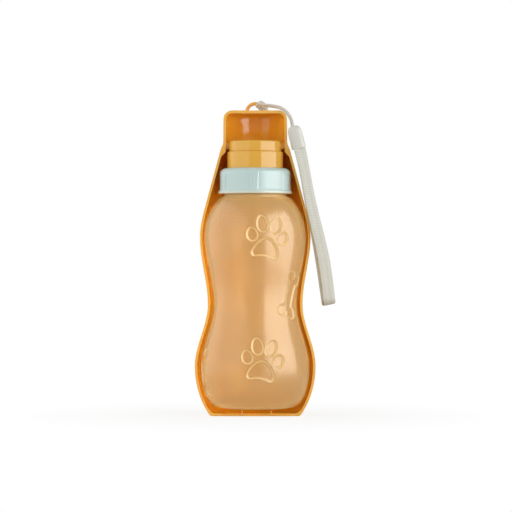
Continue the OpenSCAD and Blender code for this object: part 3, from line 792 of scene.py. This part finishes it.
def paw_distance(u, v):
    """About how far a point lies outside the paw's pad and toes."""
    sides = smooth_max(
        circle_distance(u, v, *PAD_SIDE), circle_distance(-u, v, *PAD_SIDE), PAD_SIDE_BLEND
    )
    nearest = smooth_max(sides, -circle_distance(u, v, *PAD_FOOT), PAD_FOOT_BLEND)
    nearest = smooth_max(nearest, circle_distance(u, v, *PAD_TOP), PAD_TOP_BLEND)
    for side in (-1, 1):
        for x, y, tilt, w, h in TOES:
            c, s = cos(radians(side * tilt)), sin(radians(side * tilt))
            du, dv = u - side * x, v - y
            nearest = min(nearest, toe_distance(du * c - dv * s, du * s + dv * c, w, h))
    return nearest


def bone_distance(u, v):
    """About how far a point lies outside the bone's shaft and knobs."""
    u, v = abs(u), abs(v)
    knob = circle_distance(u, v, BONE_KNOB_R, BONE_SPAN / 2, BONE_KNOB_R)
    shaft = max(u - BONE_SHAFT_W / 2, v - BONE_SPAN / 2)
    return -smooth_max(-knob, -shaft, BONE_BLEND)


# Each kind of mark: its places, its shape, how far it reaches from its middle, and its depth
MARK_KINDS = (
    (PAWS, paw_distance, PAW_REACH, PAW_DEPTH), (BONES, bone_distance, BONE_REACH, BONE_DEPTH)
)


def mark_distance(co):
    """The distance to the nearest mark's outline and its depth, for a place on the bottle's side.

    Only a mark on the side that faces the place counts; far from all of them there is no depth."""
    nearest = (99, 0)
    for marks, distance, reach, depth in MARK_KINDS:
        for turn, height, lean in marks:
            a = radians(turn)
            x, z = co.x / MM, co.z / MM - height
            across, out = x * cos(a) + co.y / MM * sin(a), x * sin(a) - co.y / MM * cos(a)
            if out > 10 and abs(z) < reach and abs(across) < reach:
                c, s = cos(radians(lean)), sin(radians(lean))
                nearest = min(nearest, (distance(across * c - z * s, across * s + z * c), depth))
    return nearest


def press_marks(bm, neck_z):
    """Presses the marks into the wall, on a mesh that is first made finer along their edges."""
    for band in MESH_BANDS:
        near = [f for f in bm.faces if abs(mark_distance(f.calc_center_median())[0]) < band]
        edges = list({e for f in near for e in f.edges})
        bmesh.ops.subdivide_edges(bm, edges=edges, cuts=1, use_grid_fill=True)
    steep = bm.verts.layers.float.new("steep")
    for v in bm.verts:
        outside, depth = mark_distance(v.co)
        t = min(max(0.5 - (outside + MARK_SHRINK) / MARK_EDGE_W, 0), 1)
        out = Vector((v.co.x, v.co.y, 0))
        v.co -= out.normalized() * depth * MM * smooth_step(t)
        v[steep] = NECK_MILK if v.co.z > neck_z * MM else 4 * t * (1 - t)


def build_bottle():
    """The bottle, one thin wall from push-up base to neck rim, with its marks pressed in."""
    bm = bmesh.new()
    bore = NECK_R - NECK_WALL
    body = bottle_outline(0, SHOULDER_ARCH, SHOULDER_LEDGE_R)
    ledge_z = body[-1][1] + 0.15
    bead_turns = [pi * i / 8 for i in range(9)]
    # From the shoulder over a flat ledge, the bead and the neck's two steps to its rim
    outer = body + [
        (SHOULDER_LEDGE_R - 0.4, ledge_z - 0.02), (SHOULDER_LEDGE_R - 0.9, ledge_z),
        *[(BEAD_R + BEAD_HALF_W * cos(a), ledge_z + BEAD_H * sin(a)) for a in bead_turns],
        (NECK_RING_R, ledge_z + 0.35),
        (NECK_RING_R, NECK_RING_Z - 0.2), (NECK_RING_R - 0.2, NECK_RING_Z), (NECK_R, NECK_RING_Z),
        (NECK_R, NECK_RIM_Z - EDGE_BREAK), (NECK_R - EDGE_BREAK, NECK_RIM_Z),
    ]
    inner = bottle_outline(BOTTLE_WALL, SHOULDER_ARCH - 2 * BOTTLE_WALL, bore)
    inner += [(bore, NECK_RIM_Z - EDGE_BREAK), (bore + EDGE_BREAK, NECK_RIM_Z)]
    spin_outline(bm, outer + inner[::-1], steps=160)
    press_marks(bm, ledge_z)
    piece = to_object("squeeze_bottle", bm)
    finish_piece(piece, "bottle", LDPE, ["bottle"], smooth_angle=50)


# ---------------------------------------------------------------- collar and spout
def collar_outline(panel_z, side_z, lip_r):
    """The collar's ring: flange, side, rounded shoulder and the lip that holds the spout down.

    Its side has rows of points where the panels begin, at height panel_z, and up to side_z."""
    flange_r, flange_top_z = COLLAR_R + FLANGE_OUT, COLLAR_Z + FLANGE_H
    rows = [panel_z - 0.35, panel_z, panel_z + 0.35]
    rows += [panel_z + 0.35 + (side_z - panel_z - 0.35) * i / 6 for i in range(1, 6)]
    return (
        [(COLLAR_BORE_R, COLLAR_Z), (flange_r - FLANGE_EDGE, COLLAR_Z)]
        + [(flange_r, COLLAR_Z + FLANGE_EDGE), (flange_r, flange_top_z - 0.6)]
        + [(flange_r - 0.25, flange_top_z - 0.1)]
        + [(COLLAR_R, flange_top_z)] + [(COLLAR_R, z) for z in rows]
        + edge_curve(COLLAR_R, COLLAR_TOP_Z, COLLAR_EDGE - 0.1, 14)
        + [(lip_r + EDGE_BREAK, COLLAR_TOP_Z), (lip_r, COLLAR_TOP_Z - EDGE_BREAK)]
        + [(lip_r, COLLAR_TOP_Z - LIP_T), (COLLAR_BORE_R, COLLAR_TOP_Z - LIP_T)]
    )


def build_collar():
    """The collar, with panels sunk between its grip pillars and three fine ribs on each pillar."""
    panel_z, panel_top_z = COLLAR_Z + FLANGE_H + PANEL_LOW, COLLAR_TOP_Z - COLLAR_EDGE + PANEL_HIGH
    side_z, lip_r, pitch = COLLAR_TOP_Z - COLLAR_EDGE, SPOUT_R + LIP_PLAY, 360 / PILLARS
    bm = spin_ring(collar_outline(panel_z, side_z, lip_r), steps=720)
    for v in bm.verts:
        r, z = hypot(v.co.x, v.co.y) / MM, v.co.z / MM
        if r < lip_r + 1 or not COLLAR_Z + FLANGE_H - 0.05 < z:
            continue  # only the outside above the flange is pressed
        turn = Vector((v.co.x, v.co.y)).angle_signed(Vector((1, 0))) / pi * 180 - PILLAR_TURN
        off = min(turn % pitch, pitch - turn % pitch)
        edge = min(
            (off - PILLAR_ANGLE / 2) * pi / 180 * r, z - panel_z,
            (panel_top_z - z) * PANEL_TOP_STEEP,
        )
        rib = sum(max(0, 1 - ((off - at) * pi / 180 * r / RIB_R) ** 2) ** 0.5 for at in RIB_PLACES)
        rib *= min(max((side_z - z) / RIB_FADE_H, 0), 1) * RIB_OUT
        sunk = PANEL_DEPTH * smooth_step(edge / PANEL_EDGE_W + 0.5)
        slope = min(max((COLLAR_TOP_Z - z) / COLLAR_EDGE, 0), 1)
        out = Vector((v.co.x, v.co.y, 0)).normalized()
        v.co += out * MM * (rib - sunk * slope)
    piece = to_object("screw_collar", bm)
    finish_piece(piece, "collar", COLLAR_PP, ["collar"], smooth_angle=50)


def build_spout():
    """The lower ring, which the collar clamps: a spigot in the neck, a shelf for the valve."""
    outline = [
        (SPIGOT_R - SPIGOT_WALL, SPIGOT_Z), (SPIGOT_R - SPIGOT_LEAD_IN, SPIGOT_Z),
        (SPIGOT_R, SPIGOT_Z + SPIGOT_LEAD_IN),
        (SPIGOT_R, CLAMP_Z), (CLAMP_R, CLAMP_Z), (CLAMP_R, CLAMP_Z + CLAMP_T - EDGE_BREAK),
        (CLAMP_R - EDGE_BREAK, CLAMP_Z + CLAMP_T), (SPOUT_R, CLAMP_Z + CLAMP_T),
        *edge_curve(SPOUT_R, CAP_Z, SPOUT_EDGE, 5),
        (SPOUT_BORE_R + 0.2, CAP_Z), (SPOUT_BORE_R, CAP_Z - 0.2), (SPOUT_BORE_R, VALVE_Z),
        (SHELF_HOLE_R, VALVE_Z), (SHELF_HOLE_R, VALVE_Z - SHELF_T),
        (SPOUT_BORE_R, VALVE_Z - SHELF_T),
    ]
    piece = to_object("lower_spout_ring", spin_ring(outline, steps=144))
    finish_piece(piece, "head", SPOUT_PP, ["spout_base"])


def build_cap():
    """The upper ring with the outlet in its top and the trough's two pins on its sides."""
    skirt_r, under_top_z = SPOUT_BORE_R - SKIRT_PLAY, CAP_TOP_Z - CAP_TOP_T
    outline = [
        (CAP_BORE_R, CAP_Z - SKIRT_H), (skirt_r, CAP_Z - SKIRT_H), (skirt_r, CAP_Z + SEAM_GAP),
        (CAP_R - 0.25, CAP_Z + SEAM_GAP), (CAP_R, CAP_Z + SEAM_GAP + 0.25),
        *edge_curve(CAP_R, CAP_TOP_Z, CAP_EDGE, 6),
        (OUTLET_R + OUTLET_EDGE, CAP_TOP_Z), (OUTLET_R, CAP_TOP_Z - OUTLET_EDGE),
        (OUTLET_R, under_top_z), (CAP_BORE_R, under_top_z),
    ]
    piece = to_object("upper_spout_ring", spin_ring(outline, steps=144))
    bm = bmesh.new()
    for side in (-1, 1):
        root, end = (side * PIN_ROOT, 0, PIVOT_Z), (side * PIN_END, 0, PIVOT_Z)
        add_rod(bm, PIN_R, root, end, edge=EDGE_BREAK)
    combine(piece, bm, "UNION")
    finish_piece(piece, "head", SPOUT_PP, ["pivot_cap"])


# ---------------------------------------------------------------- trough
def build_trough():
    """The half-shell: two half turns joined by a rim, cut back above the ears, with pin bores."""
    bm = bmesh.new()
    for outline in (tray_outside(), tray_inside()):
        spin_outline(bm, outline, steps=72, angle=pi)
    forward = bmesh.ops.extrude_edge_only(bm, edges=[e for e in bm.edges if e.is_boundary])
    moved = [v for v in forward["geom"] if isinstance(v, bmesh.types.BMVert)]
    bmesh.ops.translate(bm, verts=moved, vec=(0, -RIM_FORWARD * MM, 0))
    bmesh.ops.bisect_plane(
        bm, geom=bm.verts[:] + bm.edges[:] + bm.faces[:], dist=0.001 * MM, clear_outer=True,
        plane_co=(0, -RIM_FORWARD * MM, EAR_TOP_Z * MM),
        plane_no=(0, -cos(SET_BACK), sin(SET_BACK)),
    )
    bmesh.ops.bridge_loops(bm, edges=[e for e in bm.edges if e.is_boundary])
    bmesh.ops.recalc_face_normals(bm, faces=bm.faces)
    rim = [e for e in bm.edges if e.is_manifold and e.calc_face_angle(0) > radians(60)]
    bmesh.ops.bevel(
        bm, geom=rim, offset=RIM_EDGE * MM, offset_type="OFFSET", segments=3, profile=0.5,
        affect="EDGES", clamp_overlap=True, material=-1,
    )
    piece = to_object("trough", bm)
    bores = bmesh.new()
    for side in (-1, 1):
        start, end = ((side * x, 0, PIVOT_Z) for x in PIN_BORE)
        add_rod(bores, PIN_R + PIN_PLAY, start, end)
    combine(piece, bores, "DIFFERENCE")
    ribs = bmesh.new()
    for x in FLOOR_RIBS:
        place = Matrix.Translation(Vector((x, FLOOR_RIB_Y, FLOOR_RIB_Z)) * MM)
        size = Matrix.Diagonal((FLOOR_RIB_T * MM, FLOOR_RIB_L * MM, FLOOR_RIB_H * MM, 1))
        bmesh.ops.create_cube(ribs, size=1, matrix=place @ size)
    bmesh.ops.bevel(
        ribs, geom=ribs.edges[:], offset=FLOOR_RIB_EDGE * MM, offset_type="OFFSET", segments=2,
        profile=0.5, affect="EDGES", clamp_overlap=True, material=-1,
    )
    combine(piece, ribs, "UNION")
    finish_piece(piece, "tray", TROUGH_PP, ["tray"], smooth_angle=40)


def build_hanging_loop():
    """The half ring that stands on the end wall, with its two feet sunk in it."""
    turns = [pi * i / 32 for i in range(33)]
    arch = [Vector((LOOP_R * cos(a), LOOP_BACK, LOOP_Z + LOOP_R * sin(a))) for a in turns]
    feet = [Vector((side * LOOP_R, LOOP_BACK, LOOP_FOOT_Z)) for side in (1, -1)]
    bm = bmesh.new()
    add_cord(bm, feet[:1] + arch + feet[1:], 2 * LOOP_BAR_R, sides=20)
    piece = to_object("hanging_loop", bm)
    finish_piece(piece, "tray", LOOP_PP, smooth_angle=60)


# ---------------------------------------------------------------- lights, floor, camera, in metres
AIM = Vector((0, 0, 0.11))
ROOM_LIGHT = 0.38
TABLE_R, SHADOW_R = 0.3, 0.04
CAMERA_PLACE, CAMERA_SEES_W = (0.00056, -1.75, 0.1118), 0.3584
FILM_W = 36  # millimetres


def add_softbox(name, azimuth, height, distance, size, power, lights=True, shows=True):
    """A soft lamp that faces the object, azimuth degrees round it to the viewer's right.

    lights=False makes it a card that only shows in gloss; shows=False hides it from gloss."""
    data = bpy.data.lights.new(name, "AREA")
    data.shape = "RECTANGLE"
    data.size, data.size_y = size
    data.energy = power
    lamp = bpy.data.objects.new(name, data)
    bpy.context.scene.collection.objects.link(lamp)
    lamp.visible_diffuse, lamp.visible_glossy = lights, shows
    a = radians(azimuth)
    lamp.location = (distance * sin(a), -distance * cos(a), height)
    lamp.rotation_euler = (AIM - lamp.location).to_track_quat("-Z", "Y").to_euler()


def light_the_room():
    """Soft light from both sides in a pale room, which the camera sees as plain white.

    On the right, one lamp gives the light and one the long highlights, each at its own power."""
    add_softbox(
        "right softbox", azimuth=52, height=0.45, distance=1.1, size=(1.4, 1.5), power=8.6,
        shows=False,
    )
    add_softbox(
        "right card", azimuth=60, height=0.12, distance=1.1, size=(1.54, 1.9), power=37.0,
        lights=False,
    )
    add_softbox("left softbox", azimuth=-77, height=0.5, distance=1.2, size=(3.2, 1.8), power=18.0)

    world = bpy.data.worlds.new("white studio")
    bpy.context.scene.world = world
    world.use_nodes = True
    tree = world.node_tree
    tree.nodes.clear()
    rays = add_node(tree, "ShaderNodeLightPath")
    room = add_node(
        tree, "ShaderNodeBackground", {"Color": linear("#ffffff"), "Strength": ROOM_LIGHT}
    )
    white = add_node(tree, "ShaderNodeBackground", {"Color": linear("#ffffff"), "Strength": 1.0})
    both = add_node(
        tree, "ShaderNodeMixShader", {},
        {0: rays.outputs["Is Camera Ray"], 1: room.outputs[0], 2: white.outputs[0]},
    )
    add_node(tree, "ShaderNodeOutputWorld", {}, {"Surface": both.outputs[0]})


def lay_the_floor():
    """A round white table top that keeps the object's shadow and runs into the white behind it.

    Its matt lacquer gives the eye an even white with no reflection."""
    bm = bmesh.new()
    bmesh.ops.create_circle(bm, cap_ends=True, segments=96, radius=TABLE_R)
    floor = to_object("floor", bm)
    material, tree = new_material("white studio table, matt lacquer")
    rays = add_node(tree, "ShaderNodeLightPath")
    place = add_node(tree, "ShaderNodeTexCoord").outputs["Object"]
    far = add_node(tree, "ShaderNodeVectorMath", {"operation": "LENGTH"}, {0: place})
    fade = add_node(
        tree, "ShaderNodeMapRange",
        {"From Min": SHADOW_R, "From Max": 0.6 * TABLE_R, "To Min": 0.84, "To Max": 1.0},
        {"Value": far.outputs["Value"]},
    )
    share = add_node(
        tree, "ShaderNodeMath", {"operation": "MULTIPLY"},
        {0: rays.outputs["Is Camera Ray"], 1: fade.outputs[0]},
    )
    matt = add_node(tree, "ShaderNodeBsdfDiffuse", {"Color": linear("#f4f4f2")})
    glow = add_node(tree, "ShaderNodeEmission", {"Color": linear("#ffffff"), "Strength": 1.0})
    both = add_node(
        tree, "ShaderNodeMixShader", {},
        {0: share.outputs[0], 1: matt.outputs[0], 2: glow.outputs[0]},
    )
    add_node(tree, "ShaderNodeOutputMaterial", {}, {"Surface": both.outputs[0]})
    floor.data.materials.append(material)


def set_the_camera():
    """A long lens straight in front, level with the middle of the object."""
    camera = bpy.data.objects.new("camera", bpy.data.cameras.new("camera"))
    bpy.context.scene.collection.objects.link(camera)
    camera.data.sensor_width = FILM_W
    camera.data.lens = FILM_W * -CAMERA_PLACE[1] / CAMERA_SEES_W
    camera.data.clip_end = 50
    camera.location = CAMERA_PLACE
    camera.rotation_euler = (pi / 2, 0, 0)
    bpy.context.scene.camera = camera
    bpy.context.scene.view_settings.view_transform = "Standard"


# ---------------------------------------------------------------- assembly
set_the_camera()
build_strap()
build_bottle()
build_collar()
build_spout()
build_cap()
build_trough()
build_hanging_loop()
for node in ("neck_gasket", "spout_valve"):
    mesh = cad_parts[node].data
    mesh.materials.clear()
    mesh.materials.append(SILICONE)
light_the_room()
lay_the_floor()
